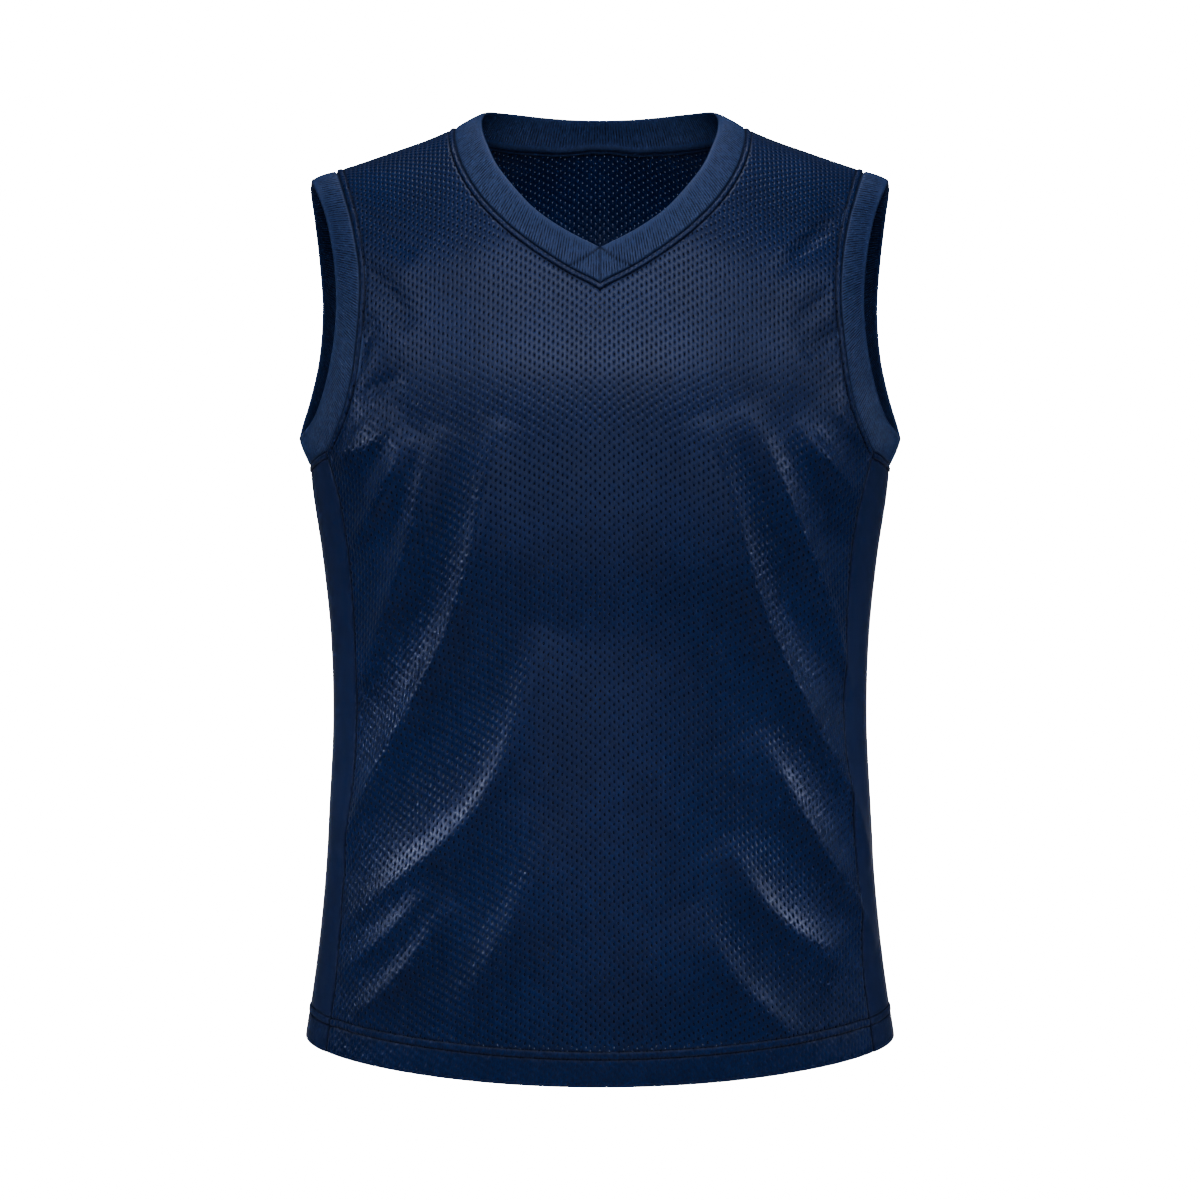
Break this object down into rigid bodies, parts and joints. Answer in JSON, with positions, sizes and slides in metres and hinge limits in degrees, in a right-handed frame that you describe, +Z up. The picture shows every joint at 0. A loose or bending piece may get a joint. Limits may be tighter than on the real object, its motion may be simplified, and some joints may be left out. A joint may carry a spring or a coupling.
{
  "type": "flag football jersey",
  "caption": "Sleeveless V-neck jersey of navy mesh knit with plain side panels and rib-bound neck and armholes, filled out as when worn.",
  "frame": {"origin": "midway between the shoulder straps, level with the middle of each strap's ridge, where the wearer carries the jersey", "axes": "+Z up the wearer's back, +X to the wearer's left, -Y out of the chest"},
  "size_m": [0.456, 0.2365, 0.7277],
  "materials": {
    "mesh_knit": "navy polyester eyelet mesh with a soft satin sheen",
    "plain_knit": "navy plain interlock knit, soft satin",
    "rib_knit": "navy folded rib knit, matt"
  },
  "bodies": {
    "root": {"front_panel": "mesh_knit", "back_panel": "mesh_knit", "side_panel_left": "plain_knit", "side_panel_right": "plain_knit", "neck_band": "rib_knit", "arm_band_left": "rib_knit", "arm_band_right": "rib_knit"}
  },
  "joints": []
}
